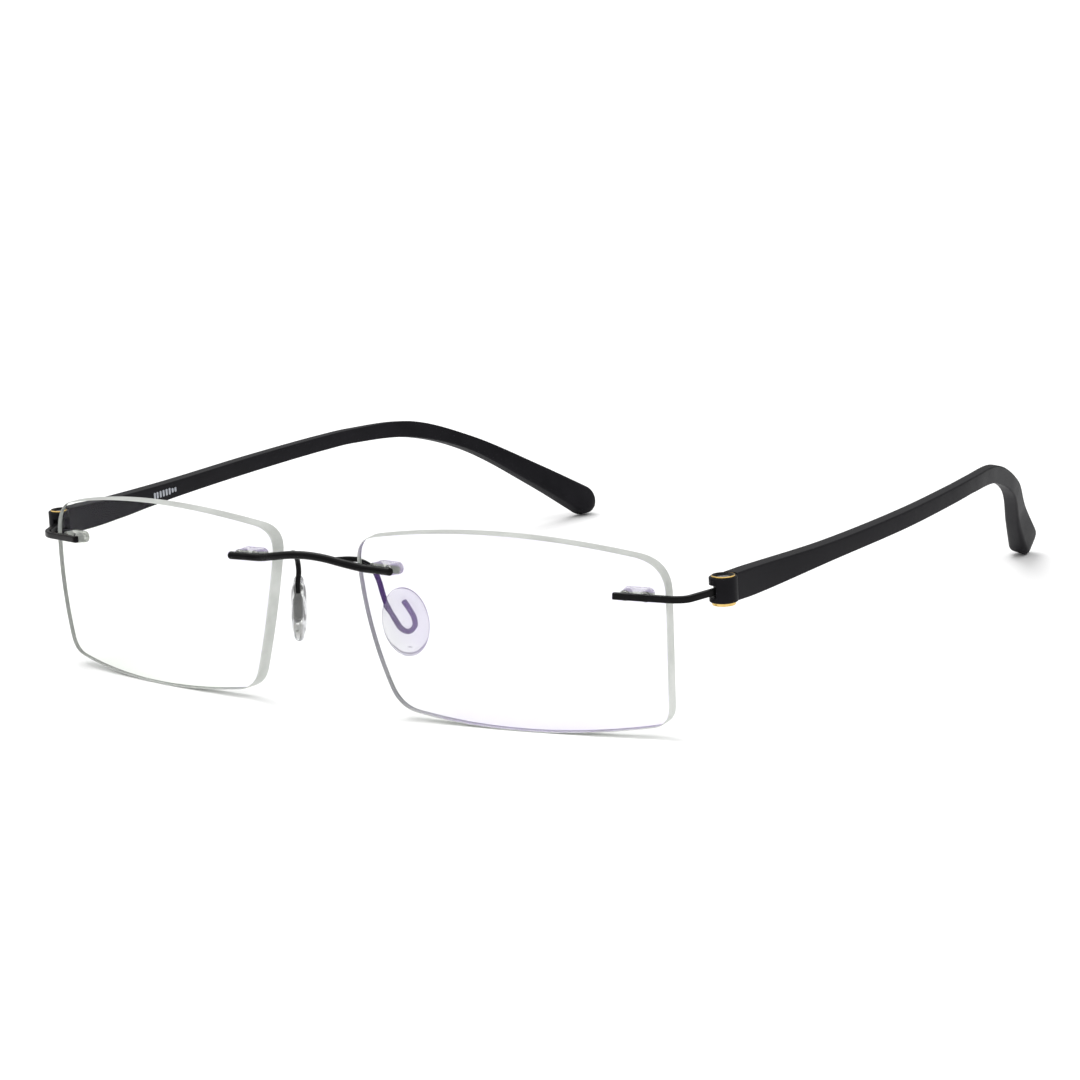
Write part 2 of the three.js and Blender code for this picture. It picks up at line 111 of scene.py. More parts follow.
PAD_CENTRE = Vector((11.1, 8.5, 13.7))
PAD_DOWN = Vector((0.142, 0.11, -0.984)).normalized()
PAD_OUTWARD_ANGLE = math.radians(-35.3)
PAD_HALF_LENGTH = 5.6
PAD_HALF_WIDTH = 3.75
PAD_THICKNESS = 2.5
PAD_PROFILE_THICKNESS = 2.5
ARM_RADIUS = 0.43
ARM_END_DOME = 0.35
ARM_ROUTE = [
    (4.3, -1.2, 25), (5.9, 1.3, 24.75), (7.2, 3.6, 24), (8, 5.05, 22.6), (8.45, 5.75, 20.6),
]
ARM_HOOK = [
    (-2.5, 5.4), (-2.3, 3.4), (-1.6, 1), (-0.95, -0.8), (0.1, -1.55), (1.15, -0.9), (1.3, 0.4),
    (0.95, 1.7), (0.4, 3.3),
]

HINGE_AXIS = Vector((66.85, 14.1, 0))
BARREL_BOTTOM = 20.75
BARREL_TOP = 24.6
BARREL_RADIUS = 2.2
BARREL_BORE = 1.63
SLEEVE_RADIUS = 1.55
SLEEVE_BORE = 1.3
SLEEVE_FLANGE = 1.84
SLEEVE_TOP_FLANGE = 0.2
SLEEVE_BOTTOM_FLANGE = 0.5
GOLD_RIM = 0.14
HINGE_PIN_RADIUS = 1.2
HINGE_PIN_RECESS = 0.1
SLOT_MIDDLE = 22.5
SLOT_HEIGHT = 1.9
SLOT_FROM = math.radians(144)
SLOT_TO = math.radians(270)
SLOT_STEPS = 24
CUT_BEYOND = 5

# Temple stations as (back, side, height, tall, thick, lean in degrees), from the hinge axis back.
TEMPLE_STATIONS = [
    (0.9, 0, 22.65, 4.4, 2.7, 0),
    (9, 0, 22.5, 4.35, 2.7, 0),
    (29, 0.95, 22.8, 3.1, 2.65, 0),
    (53, 1.2, 23.3, 2.9, 2.4, 0),
    (72, 0, 23.75, 2.8, 2.2, 0),
    (80, -1.05, 23.8, 2.8, 2.1, 1),
    (94.1, -4.1, 22.75, 3.15, 1.9, 8),
    (107.3, -7.95, 17.95, 2.85, 2.5, 14),
    (120.5, -13.85, 9.75, 4.25, 2.95, 17),
    (133, -18.85, 1.41, 5.8, 4.15, 20),
]
TEMPLE_STEPS = 150
TIP_ROUND = 0.025
TIP_STEPS = 12
TIP_LAST_ANGLE = math.radians(86)
TEMPLE_EDGE = 0.3
TIP_EDGE = 1.1
SOFT_TIP_FROM = 0.8
# The CAD's faceted skin lies this much inside its true section.
TEMPLE_SKIN = 0.06

# The mark on the temple: bars of these heights, from this far behind the hinge axis.
MARK_BARS = [1.15] * 6 + [0.8] * 2
MARK_BACK = 23.5
MARK_SPACING = 0.85
MARK_WIDTH = 0.5
MARK_RISE = 0.02
MARK_SINK = 0.05
MARK_SEARCH_STEPS = 2000

# The hinge pin stands on the hinge axis, so its box places the design in the row frame.
pin_low, pin_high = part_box("left_hinge_pin")
ORIGIN = Vector((
    (pin_low.x + pin_high.x) / 2 - HINGE_AXIS.x * MM,
    (pin_low.y + pin_high.y) / 2 - HINGE_AXIS.y * MM,
    pin_high.z - (BARREL_TOP - HINGE_PIN_RECESS) * MM,
))


def to_row(point):
    return Vector(point) * MM + ORIGIN


# ---------- curves ----------

def cubic(x0, x1, t0, t1, w):
    c2 = -3 * x0 + 3 * x1 - 2 * t0 - t1
    c3 = 2 * x0 - 2 * x1 + t0 + t1
    return x0 + t0 * w + c2 * w * w + c3 * w ** 3


def spline_point(points, t, centripetal):
    """A Catmull-Rom curve through the points, at t from 0 to 1."""
    place = min(max(t, 0), 1) * (len(points) - 1)
    i = min(int(place), len(points) - 2)
    w = place - i
    p1, p2 = points[i], points[i + 1]
    p0 = points[i - 1] if i > 0 else p1 * 2 - p2
    p3 = points[i + 2] if i + 2 < len(points) else p2 * 2 - p1
    if not centripetal:
        return cubic(p1, p2, (p2 - p0) * 0.5, (p3 - p1) * 0.5, w)
    d0, d1, d2 = (math.sqrt((b - a).length) for a, b in ((p0, p1), (p1, p2), (p2, p3)))
    t1 = ((p1 - p0) / d0 - (p2 - p0) / (d0 + d1) + (p2 - p1) / d1) * d1
    t2 = ((p2 - p1) / d1 - (p3 - p1) / (d1 + d2) + (p3 - p2) / d2) * d1
    return cubic(p1, p2, t1, t2, w)


def spline(points, steps):
    points = [Vector(p) for p in points]
    return [spline_point(points, i / steps, True) for i in range(steps + 1)]


def bezier(a, b, c, steps):
    return [a * (1 - t) ** 2 + b * 2 * t * (1 - t) + c * t * t
            for t in (i / steps for i in range(steps + 1))]


# ---------- mesh helpers ----------

def new_object(name, points, faces, sharp_angle=35):
    mesh = bpy.data.meshes.new(name)
    mesh.from_pydata([to_row(p) for p in points], [], faces)
    mesh.validate()
    piece = bpy.data.objects.new(name, mesh)
    bpy.context.scene.collection.objects.link(piece)
    smooth(piece, sharp_angle)
    return piece


def smooth(piece, sharp_angle):
    piece.data.shade_smooth()
    piece.data.set_sharp_from_angle(angle=math.radians(sharp_angle))


def loft(rings, closed=False):
    """(points, faces) of a skin over rings of equal length, capped at both ends unless closed."""
    count = len(rings[0])
    points = [p for ring in rings for p in ring]
    pairs = list(zip(range(len(rings) - 1), range(1, len(rings))))
    if closed:
        pairs.append((len(rings) - 1, 0))
    faces = []
    for a, b in pairs:
        for k in range(count):
            n = (k + 1) % count
            faces.append((a * count + k, a * count + n, b * count + n, b * count + k))
    if not closed:
        faces.append(tuple(reversed(range(count))))
        faces.append(tuple(range((len(rings) - 1) * count, len(rings) * count)))
    return points, faces


def directions(path):
    ends = [path[0], *path, path[-1]]
    return [(ends[i + 2] - ends[i]).normalized() for i in range(len(path))]


def swept_rings(path, section, up, scales):
    """Rings of a section, as (across, up) pairs, carried along the path without twisting."""
    rings = []
    for point, run, scale in zip(path, directions(path), scales):
        across = run.cross(up).normalized()
        up = across.cross(run).normalized()
        rings.append([point + across * x * scale + up * y * scale for x, y in section])
    return rings


def circle(radius, count):
    return [(radius * math.cos(2 * math.pi * i / count), radius * math.sin(2 * math.pi * i / count))
            for i in range(count)]


def rounded_rectangle(width, height, radius, corner_steps):
    points = []
    for corner, (sx, sy) in enumerate(((1, 1), (-1, 1), (-1, -1), (1, -1))):
        for k in range(corner_steps + 1):
            angle = math.pi / 2 * (corner + k / corner_steps)
            points.append((
                sx * (width / 2 - radius) + radius * math.cos(angle),
                sy * (height / 2 - radius) + radius * math.sin(angle),
            ))
    return points


def domed_path(path, radius, steps):
    """The path with extra points inside its ends, and the scale at each, for rounded ends."""
    first, last = directions(path)[0], directions(path)[-1]
    angles = [math.pi / 2 * (i + 0.3) / steps for i in range(steps)]
    head = [path[0] - first * radius * math.cos(a) for a in angles]
    tail = [path[-1] + last * radius * math.cos(a) for a in reversed(angles)]
    rise = [math.sin(a) for a in angles]
    return [*head, *path, *tail], [*rise, *[1] * len(path), *reversed(rise)]


DOME_STEPS = 7


def tube(name, path, radius, end_radius=None, count=28, up=Vector((0, 0, 1))):
    path, scales = domed_path(path, radius if end_radius is None else end_radius, DOME_STEPS)
    return new_object(name, *loft(swept_rings(path, circle(radius, count), up, scales)))


def lathe(name, profile, matrix, count=56, sharp_angle=35):
    """A closed profile of (radius, height) pairs, turned about Z and placed by the matrix."""
    rings = []
    for i in range(count):
        angle = 2 * math.pi * i / count
        rings.append([matrix @ Vector((r * math.cos(angle), r * math.sin(angle), h))
                      for r, h in profile])
    return new_object(name, *loft(rings, closed=True), sharp_angle=sharp_angle)


AXIS_RING = 1e-3


def solid_lathe(name, profile, matrix, count=40):
    """A profile whose ends lie on the axis, as tiny rings there, turned into a solid."""
    rings = []
    for r, h in profile:
        radius = max(r, AXIS_RING)
        rings.append([matrix @ Vector((x * radius, y * radius, h)) for x, y in circle(1, count)])
    return new_object(name, *loft(rings))


def baked(piece):
    """Applies a piece's modifiers."""
    graph = bpy.context.evaluated_depsgraph_get()
    mesh = bpy.data.meshes.new_from_object(piece.evaluated_get(graph))
    piece.modifiers.clear()
    piece.data = mesh
    return piece


def combine(piece, other, operation):
    change = piece.modifiers.new(operation, "BOOLEAN")
    change.operation = operation
    change.solver = "EXACT"
    change.object = other
    baked(piece)
    bpy.data.objects.remove(other)


def mirrored(piece, name):
    mesh = piece.data.copy()
    mesh.transform(Matrix.Scale(-1, 4, (1, 0, 0)))
    mesh.flip_normals()
    twin = bpy.data.objects.new(name, mesh)
    bpy.context.scene.collection.objects.link(twin)
    return twin


# ---------- frames ----------

LENS_FRAME = (Matrix.Translation(LENS_CENTRE) @ Matrix.Rotation(LENS_WRAP, 4, "Z")
              @ Matrix.Rotation(math.pi / 2 + LENS_TILT, 4, "X"))


def basis(x, y, z, place):
    matrix = Matrix((x, y, z)).transposed().to_4x4()
    matrix.translation = place
    return matrix


def surface_frame(mount):
    u, v, lean = mount
    depth = math.sqrt(LENS_RADIUS ** 2 - u * u - v * v)
    outward = Vector((u, v, depth)).normalized()
    along = Vector((0, 1, 0)).cross(outward).normalized()
    local = basis(along, outward.cross(along), outward, Vector((u, v, depth - LENS_RADIUS)))
    return LENS_FRAME @ local @ Matrix.Rotation(lean, 4, "Z")


def pad_frame():
    outward = Vector((math.cos(PAD_OUTWARD_ANGLE), math.sin(PAD_OUTWARD_ANGLE), 0))
    outward = (outward - PAD_DOWN * outward.dot(PAD_DOWN)).normalized()
    return basis(outward.cross(PAD_DOWN), -PAD_DOWN, outward, PAD_CENTRE)


NASAL_FRAME = surface_frame(NASAL_MOUNT)
TEMPORAL_FRAME = surface_frame(TEMPORAL_MOUNT)
PAD_FRAME = pad_frame()
HINGE_FRAME = Matrix.Translation(HINGE_AXIS)


def stand_off(half_depth):
    return COLLAR_BASE + COLLAR_HEIGHT + FLANGE_GAP + half_depth


# ---------- lens ----------

def lens_outline():
    corners = [Vector((u, v)) for u, v, _, _ in LENS_CORNERS]
    sides = []
    for i, (_, _, _, bow) in enumerate(LENS_CORNERS):
        start, stop = corners[i], corners[(i + 1) % 4]
        run = (stop - start).normalized()
        control = (start + stop) / 2 + Vector((-run.y, run.x)) * 2 * bow
        sides.append((start, control, stop))

    def on_side(side, t):
        a, b, c = side
        return a * (1 - t) ** 2 + b * 2 * t * (1 - t) + c * t * t

    lengths = []
    for side in sides:
        walk = [on_side(side, i / LENGTH_STEPS) for i in range(LENGTH_STEPS + 1)]
        lengths.append(sum((b - a).length for a, b in zip(walk, walk[1:])))
    points = []
    for i, side in enumerate(sides):
        n = (i + 1) % 4
        start = LENS_CORNERS[i][2] / lengths[i]
        stop = 1 - LENS_CORNERS[n][2] / lengths[i]
        points += [on_side(side, start + (stop - start) * k / SIDE_STEPS)
                   for k in range(SIDE_STEPS + 1)]
        after = on_side(sides[n], LENS_CORNERS[n][2] / lengths[n])
        points += bezier(on_side(side, stop), side[2], after, CORNER_STEPS)[1:-1]
    return points[::-1]


def inset(outline, distance):
    count = len(outline)
    moved = []
    for i, point in enumerate(outline):
        run = (outline[(i + 1) % count] - outline[i - 1]).normalized()
        moved.append(point + Vector((-run.y, run.x)) * distance)
    return moved


def inside(point, polygon):
    hit = False
    for a, b in zip(polygon, polygon[1:] + polygon[:1]):
        if (a.y > point.y) != (b.y > point.y):
            if point.x < a.x + (b.x - a.x) * (point.y - a.y) / (b.y - a.y):
                hit = not hit
    return hit


def cap(outline, holes):
    """Triangles over the outline, minus the holes, with a grid of points between."""
    loops = [outline, *holes]
    points = [p for loop in loops for p in loop]
    edges = []
    start = 0
    for loop in loops:
        edges += [(start + i, start + (i + 1) % len(loop)) for i in range(len(loop))]
        start += len(loop)
    low = Vector((min(p.x for p in outline), min(p.y for p in outline)))
    high = Vector((max(p.x for p in outline), max(p.y for p in outline)))
    room = inset(outline, LENS_GRID / 2)
    middles = [sum(hole, Vector((0, 0))) / len(hole) for hole in holes]
    y = low.y + LENS_GRID / 2
    while y < high.y:
        x = low.x + LENS_GRID / 2
        while x < high.x:
            p = Vector((x, y))
            if inside(p, room) and all((p - m).length > LENS_GRID / 2 for m in middles):
                points.append(p)
            x += LENS_GRID
        y += LENS_GRID
    found, _, triangles, origins, _, _ = delaunay_2d_cdt(points, edges, [], 0, 1e-6)
    assert len(found) == len(points)
    order = [o[0] for o in origins]
    kept = []
    for triangle in triangles:
        centre = sum((found[i] for i in triangle), Vector((0, 0))) / 3
        if inside(centre, outline) and not any(inside(centre, hole) for hole in holes):
            kept.append(tuple(order[i] for i in triangle))
    return points, kept


def lens_hole(frame_matrix, side, depth, count=24):
    to_lens = LENS_FRAME.inverted() @ frame_matrix
    return [(to_lens @ Vector((side * PIN_SPACING / 2 + x, y, depth))).to_2d()
            for x, y in circle(LENS_HOLE_RADIUS, count)]


def lens_piece(name):
    outline = lens_outline()
    face_outline = inset(outline, LENS_CHAMFER)
    back_radius = LENS_RADIUS - LENS_THICKNESS
    points, faces, walls = [], [], []
    rims, bores = [], []
    for radius, depth, front in ((LENS_RADIUS, 0, True), (back_radius, -LENS_THICKNESS, False)):
        holes = [lens_hole(f, side, depth) for f in (NASAL_FRAME, TEMPORAL_FRAME)
                 for side in (-1, 1)]
        flat, triangles = cap(face_outline, holes)
        start = len(points)
        points += [Vector((p.x, p.y, math.sqrt(radius ** 2 - p.x ** 2 - p.y ** 2) - LENS_RADIUS))
                   for p in flat]
        for a, b, c in triangles:
            upward = (flat[b] - flat[a]).cross(flat[c] - flat[a]) > 0
            a, b, c = (a, b, c) if upward == front else (a, c, b)
            faces.append((start + a, start + b, start + c))
        rims.append([start + i for i in range(len(outline))])
        at = start + len(outline)
        loops = []
        for hole in holes:
            loops.append([at + i for i in range(len(hole))])
            at += len(hole)
        bores.append(loops)
    shoulder = []
    for radius, drop in ((LENS_RADIUS, -LENS_CHAMFER), (back_radius, LENS_CHAMFER)):
        start = len(points)
        points += [Vector((p.x, p.y,
                           math.sqrt(radius ** 2 - p.x ** 2 - p.y ** 2) - LENS_RADIUS + drop))
                   for p in outline]
        shoulder.append([start + i for i in range(len(outline))])

    def wall(upper, lower):
        count = len(upper)
        for i in range(count):
            n = (i + 1) % count
            walls.append((upper[i], lower[i], lower[n], upper[n]))

    wall(rims[0], shoulder[0])
    wall(shoulder[0], shoulder[1])
    wall(shoulder[1], rims[1])
    for upper, lower in zip(*bores):
        wall(lower, upper)
    piece = new_object(name, [LENS_FRAME @ p for p in points], [*faces, *walls], 28)
    for polygon in piece.data.polygons[len(faces):]:
        polygon.material_index = 1
    return piece


# ---------- mounts ----------

def bush_piece(name, matrix):
    front = -LENS_THICKNESS - SEAT_GAP
    back = front - BUSH_DEPTH
    rings = []
    for k in range(BUSH_ROUND_STEPS + 1):
        angle = math.pi / 2 * k / BUSH_ROUND_STEPS
        rings.append((BUSH_ROUND * (1 - math.sin(angle)),
                      back + BUSH_ROUND * (1 - math.cos(angle))))
    rings += [(gap, front - (z - back)) for gap, z in reversed(rings)]
    shapes = []
    for gap, z in rings:
        outline = rounded_rectangle(BUSH_LENGTH - 2 * gap, BUSH_HEIGHT - 2 * gap,
                                    BUSH_HEIGHT / 2 - gap - 0.01, 8)
        shapes.append([matrix @ Vector((x, y, z)) for x, y in outline])
    plate = new_object(name, *loft(shapes))
    for side in (-1, 1):
        place = matrix @ Matrix.Translation((side * PIN_SPACING / 2, 0, 0))
        leg = solid_lathe("leg", [
            (0, front - BUSH_LEG_SINK), (BUSH_LEG_RADIUS, front - BUSH_LEG_SINK),
            (BUSH_LEG_RADIUS, -SEAT_GAP - BUSH_LEG_CHAMFER),
            (BUSH_LEG_RADIUS - BUSH_LEG_CHAMFER, -SEAT_GAP), (0, -SEAT_GAP),
        ], place, 24)
        combine(plate, leg, "UNION")
    smooth(plate, 35)
    return plate


def pin_piece(name, matrix, side):
    top = COLLAR_BASE + COLLAR_HEIGHT
    place = matrix @ Matrix.Translation((side * PIN_SPACING / 2, 0, 0))
    return solid_lathe(name, [
        (0, -PIN_REACH), (PIN_RADIUS * 0.6, -PIN_REACH), (PIN_RADIUS, -PIN_REACH + 0.18),
        (PIN_RADIUS, COLLAR_BASE), (COLLAR_RADIUS - 0.05, COLLAR_BASE),
        (COLLAR_RADIUS, COLLAR_BASE + 0.04), (COLLAR_RADIUS, top - 0.03), (0, top),
    ], place, 28)


# ---------- bridge, endpieces, pad arms, pads ----------

def bridge_path():
    out = stand_off(BRIDGE_RADIUS)
    half = [NASAL_FRAME @ Vector((along, 0, out)) for along in (BRIDGE_END, 0, BRIDGE_EDGE)]
    half += [Vector(p) for p in BRIDGE_ARCH]
    return spline(half + [Vector((-p.x, p.y, p.z)) for p in half[-2::-1]], 120)


def wire_end():
    away = BAR_KNEE - HINGE_AXIS
    away.z = 0
    place = HINGE_AXIS + away.normalized() * (SLEEVE_RADIUS + SEAT_GAP)
    place.z = SLOT_MIDDLE
    return place


def endpiece_piece(name):
    out = stand_off(BAR_DEPTH / 2)
    inner = TEMPORAL_FRAME @ Vector((BAR_INNER_END, 0, out))
    edge = TEMPORAL_FRAME @ Vector((BAR_LENS_EDGE, 0, out))
    beyond = BAR_KNEE.lerp(wire_end(), BAR_BEND_SHARE)
    path = [inner.lerp(edge, i / 12) for i in range(12)]
    path += bezier(edge, BAR_KNEE, beyond, 40)
    path += [beyond.lerp(wire_end(), i / 10) for i in range(1, 11)]
    run = (edge - inner).normalized()
    head = [inner, inner + run * BAR_BEVEL * 0.3, inner + run * BAR_BEVEL]
    path = [*head, *[p for p in path if (p - inner).length > BAR_BEVEL * 1.5]]
    scales = [0.78, 0.93, *[1] * (len(path) - 2)]
    section = rounded_rectangle(BAR_DEPTH, BAR_HEIGHT, BAR_ROUND, 5)
    return new_object(name, *loft(swept_rings(path, section, Vector((0, 0, 1)), scales)), 40)


def arm_piece(name):
    hook = [PAD_FRAME @ Vector((across, up, 0)) for across, up in ARM_HOOK]
    path = spline([Vector(p) for p in ARM_ROUTE] + hook, 220)
    return tube(name, path, ARM_RADIUS, ARM_RADIUS * ARM_END_DOME, 24, Vector((0, 1, 0)))


def pad_piece(name):
    """An oval pad with a soft rim, a shallow step inside it and slightly crowned faces."""
    # (distance in from the outline, height from the middle) from the rim to the face's middle.
    profile = [(0.0, 0.0), (0.03, 0.2), (0.12, 0.4), (0.28, 0.58), (0.48, 0.71), (0.68, 0.8),
               (0.82, 0.83), (0.96, 0.8), (1.12, 0.82), (1.6, 1.0), (2.2, 1.15), (3.0, 1.23)]
    scale = PAD_THICKNESS / PAD_PROFILE_THICKNESS
    rings = []
    for sign in (-1, 1):
        rows = profile if sign == 1 else profile[:0:-1]
        for gap, height in rows:
            a, b = PAD_HALF_WIDTH - gap, PAD_HALF_LENGTH - gap
            rings.append([PAD_FRAME @ Vector((a * x, b * y, sign * height * scale))
                          for x, y in circle(1, 72)])
    return new_object(name, *loft(rings), 60)


# ---------- hinges ----------

def sleeve_piece(name):
    low = BARREL_BOTTOM - FLANGE_GAP
    high = BARREL_TOP + FLANGE_GAP
    bottom = low - SLEEVE_BOTTOM_FLANGE
    top = high + SLEEVE_TOP_FLANGE
    return lathe(name, [
        (SLEEVE_BORE, bottom + 0.1), (SLEEVE_BORE + 0.08, bottom), (SLEEVE_FLANGE - 0.22, bottom),
        (SLEEVE_FLANGE - 0.08, bottom + 0.04), (SLEEVE_FLANGE - 0.01, bottom + 0.14),
        (SLEEVE_FLANGE, bottom + 0.26), (SLEEVE_FLANGE, low - 0.04), (SLEEVE_FLANGE - 0.04, low),
        (SLEEVE_RADIUS, low), (SLEEVE_RADIUS, high), (SLEEVE_FLANGE - 0.04, high),
        (SLEEVE_FLANGE, high + 0.04), (SLEEVE_FLANGE, top - 0.07), (SLEEVE_FLANGE - 0.07, top),
        (SLEEVE_FLANGE - 0.14, top), (SLEEVE_FLANGE - 0.2, top - 0.06), (SLEEVE_BORE, high - 0.12),
    ], HINGE_FRAME, 72)


def paint_sleeve_shade(piece):
    """The bottom flange and the top flange's outer rim stay plated. The rest turns black as painted
    shade: the dark bore inside the top flange and the middle seen through the slot.
    """
    low = (BARREL_BOTTOM - FLANGE_GAP) * MM + ORIGIN.z
    high = (BARREL_TOP + FLANGE_GAP) * MM + ORIGIN.z
    axis = (HINGE_AXIS * MM + ORIGIN).to_2d()
    for polygon in piece.data.polygons:
        reach = (Vector((abs(polygon.center.x), polygon.center.y)) - axis).length
        # Painted shade: the bore and the top flange's face inside the gold rim are black.
        inner = reach < (SLEEVE_FLANGE - GOLD_RIM) * MM and polygon.center.z > low
        # Painted shade: the band between the flanges, seen through the slot, is black.
        shaded_middle = low < polygon.center.z < high and reach < (SLEEVE_RADIUS + 0.02) * MM
        if inner or shaded_middle:
            polygon.material_index = 1


def hinge_pin_piece(name):
    bottom = BARREL_BOTTOM - SLEEVE_BOTTOM_FLANGE
    top = BARREL_TOP - HINGE_PIN_RECESS
    r = HINGE_PIN_RADIUS
    return solid_lathe(name, [
        (0, bottom + 0.12), (r * 0.55, bottom + 0.12), (r * 0.62, bottom), (r - 0.12, bottom),
        (r, bottom + 0.1), (r, top - 0.12), (r - 0.12, top), (r * 0.5, top), (0, top),
    ], HINGE_FRAME, 48)


# ---------- temples ----------

def temple_curves():
    centres = [Vector((HINGE_AXIS.x + side, HINGE_AXIS.y + back, height))
               for back, side, height, _, _, _ in TEMPLE_STATIONS]
    sizes = [Vector((tall, thick, math.radians(lean)))
             for _, _, _, tall, thick, lean in TEMPLE_STATIONS]
    return centres, sizes


def temple_section(centres, sizes, t):
    """(centre, run, outward, upward, tall, thick) of the temple at t from 0 to 1."""
    step = 1e-4
    centre = spline_point(centres, t, True)
    ahead = spline_point(centres, min(t + step, 1), True)
    behind = spline_point(centres, max(t - step, 0), True)
    run = (ahead - behind).normalized()
    tall, thick, lean = spline_point(sizes, t, False)
    outward = run.cross(Vector((0, 0, 1))).normalized()
    turn = Matrix.Rotation(lean, 3, run)
    return centre, run, turn @ outward, turn @ outward.cross(run), tall, thick


def temple_ring(centres, sizes, t, shrink):
    centre, _, outward, upward, tall, thick = temple_section(centres, sizes, t)
    width, height = (thick - TEMPLE_SKIN) * math.sqrt(shrink), (tall - TEMPLE_SKIN) * shrink
    soft = min(max((t - SOFT_TIP_FROM) / (1 - SOFT_TIP_FROM), 0), 1)
    edge = TEMPLE_EDGE + (TIP_EDGE - TEMPLE_EDGE) * soft
    edge = min(edge, width * 0.45, height * 0.45)
    return [centre + outward * x + upward * y
            for x, y in rounded_rectangle(width, height, edge, 6)]


def slot_cutter():
    """The wedge, from the hinge axis outwards, that the endpiece wire sweeps in the barrel."""
    reach = 2 * BARREL_RADIUS
    angles = [SLOT_FROM + (SLOT_TO - SLOT_FROM) * i / SLOT_STEPS for i in range(SLOT_STEPS + 1)]
    wedge = [Vector((0, 0, 0)), *[Vector((math.cos(a), math.sin(a), 0)) * reach for a in angles]]
    levels = [SLOT_MIDDLE - SLOT_HEIGHT / 2, SLOT_MIDDLE + SLOT_HEIGHT / 2]
    return new_object("slot", *loft([[p + HINGE_AXIS + Vector((0, 0, z)) for p in wedge]
                                     for z in levels]))


def temple_piece(name):
    centres, sizes = temple_curves()
    rings = [temple_ring(centres, sizes, (1 - TIP_ROUND) * i / TEMPLE_STEPS, 1)
             for i in range(TEMPLE_STEPS + 1)]
    for i in range(1, TIP_STEPS + 1):
        angle = TIP_LAST_ANGLE * i / TIP_STEPS
        rings.append(temple_ring(centres, sizes, 1 - TIP_ROUND * (1 - math.sin(angle)),
                                 math.cos(angle)))
    points, faces = loft([ring[::-1] for ring in rings])
    arm = new_object(name, points, faces)
    combine(arm, solid_lathe("barrel", [
        (0, BARREL_BOTTOM), (BARREL_RADIUS - 0.1, BARREL_BOTTOM),
        (BARREL_RADIUS, BARREL_BOTTOM + 0.1), (BARREL_RADIUS, BARREL_TOP - 0.1),
        (BARREL_RADIUS - 0.1, BARREL_TOP), (0, BARREL_TOP)], HINGE_FRAME, 72), "UNION")
    cutters = [
        (BARREL_BORE, BARREL_BOTTOM - CUT_BEYOND, BARREL_TOP + CUT_BEYOND),
        (SLEEVE_FLANGE + 0.5, BARREL_TOP, BARREL_TOP + CUT_BEYOND),
        (SLEEVE_FLANGE + 0.2, BARREL_BOTTOM - CUT_BEYOND, BARREL_BOTTOM),
    ]
    for radius, low, high in cutters:
        combine(arm, solid_lathe("cut", [(0, low), (radius, low), (radius, high), (0, high)],
                                 HINGE_FRAME, 72), "DIFFERENCE")
    # Known fault: this cut leaves four stray faces inside the bore.
    combine(arm, slot_cutter(), "DIFFERENCE")
    smooth(arm, 32)
    return arm


def mark_piece(name):
    """A row of plain pale bars on the temple's inner face, standing for its printed mark."""
    centres, sizes = temple_curves()
    points, faces = [], []
    for i, tall in enumerate(MARK_BARS):
        back = HINGE_AXIS.y + MARK_BACK + i * MARK_SPACING
        t = next(t for t in (k / MARK_SEARCH_STEPS for k in range(MARK_SEARCH_STEPS))
                 if spline_point(centres, t, True).y > back)
        centre, run, outward, upward, _, thick = temple_section(centres, sizes, t)
        inner = centre - outward * (thick / 2)
        rings = [[inner + outward * depth + run * x + upward * y
                  for x, y in rounded_rectangle(MARK_WIDTH, tall, MARK_WIDTH * 0.3, 2)]
                 for depth in (MARK_SINK, -MARK_RISE)]
        bar_points, bar_faces = loft(rings)
        faces += [tuple(k + len(points) for k in face) for face in bar_faces]
        points += bar_points
    return new_object(name, points, faces)


# ---------- materials ----------

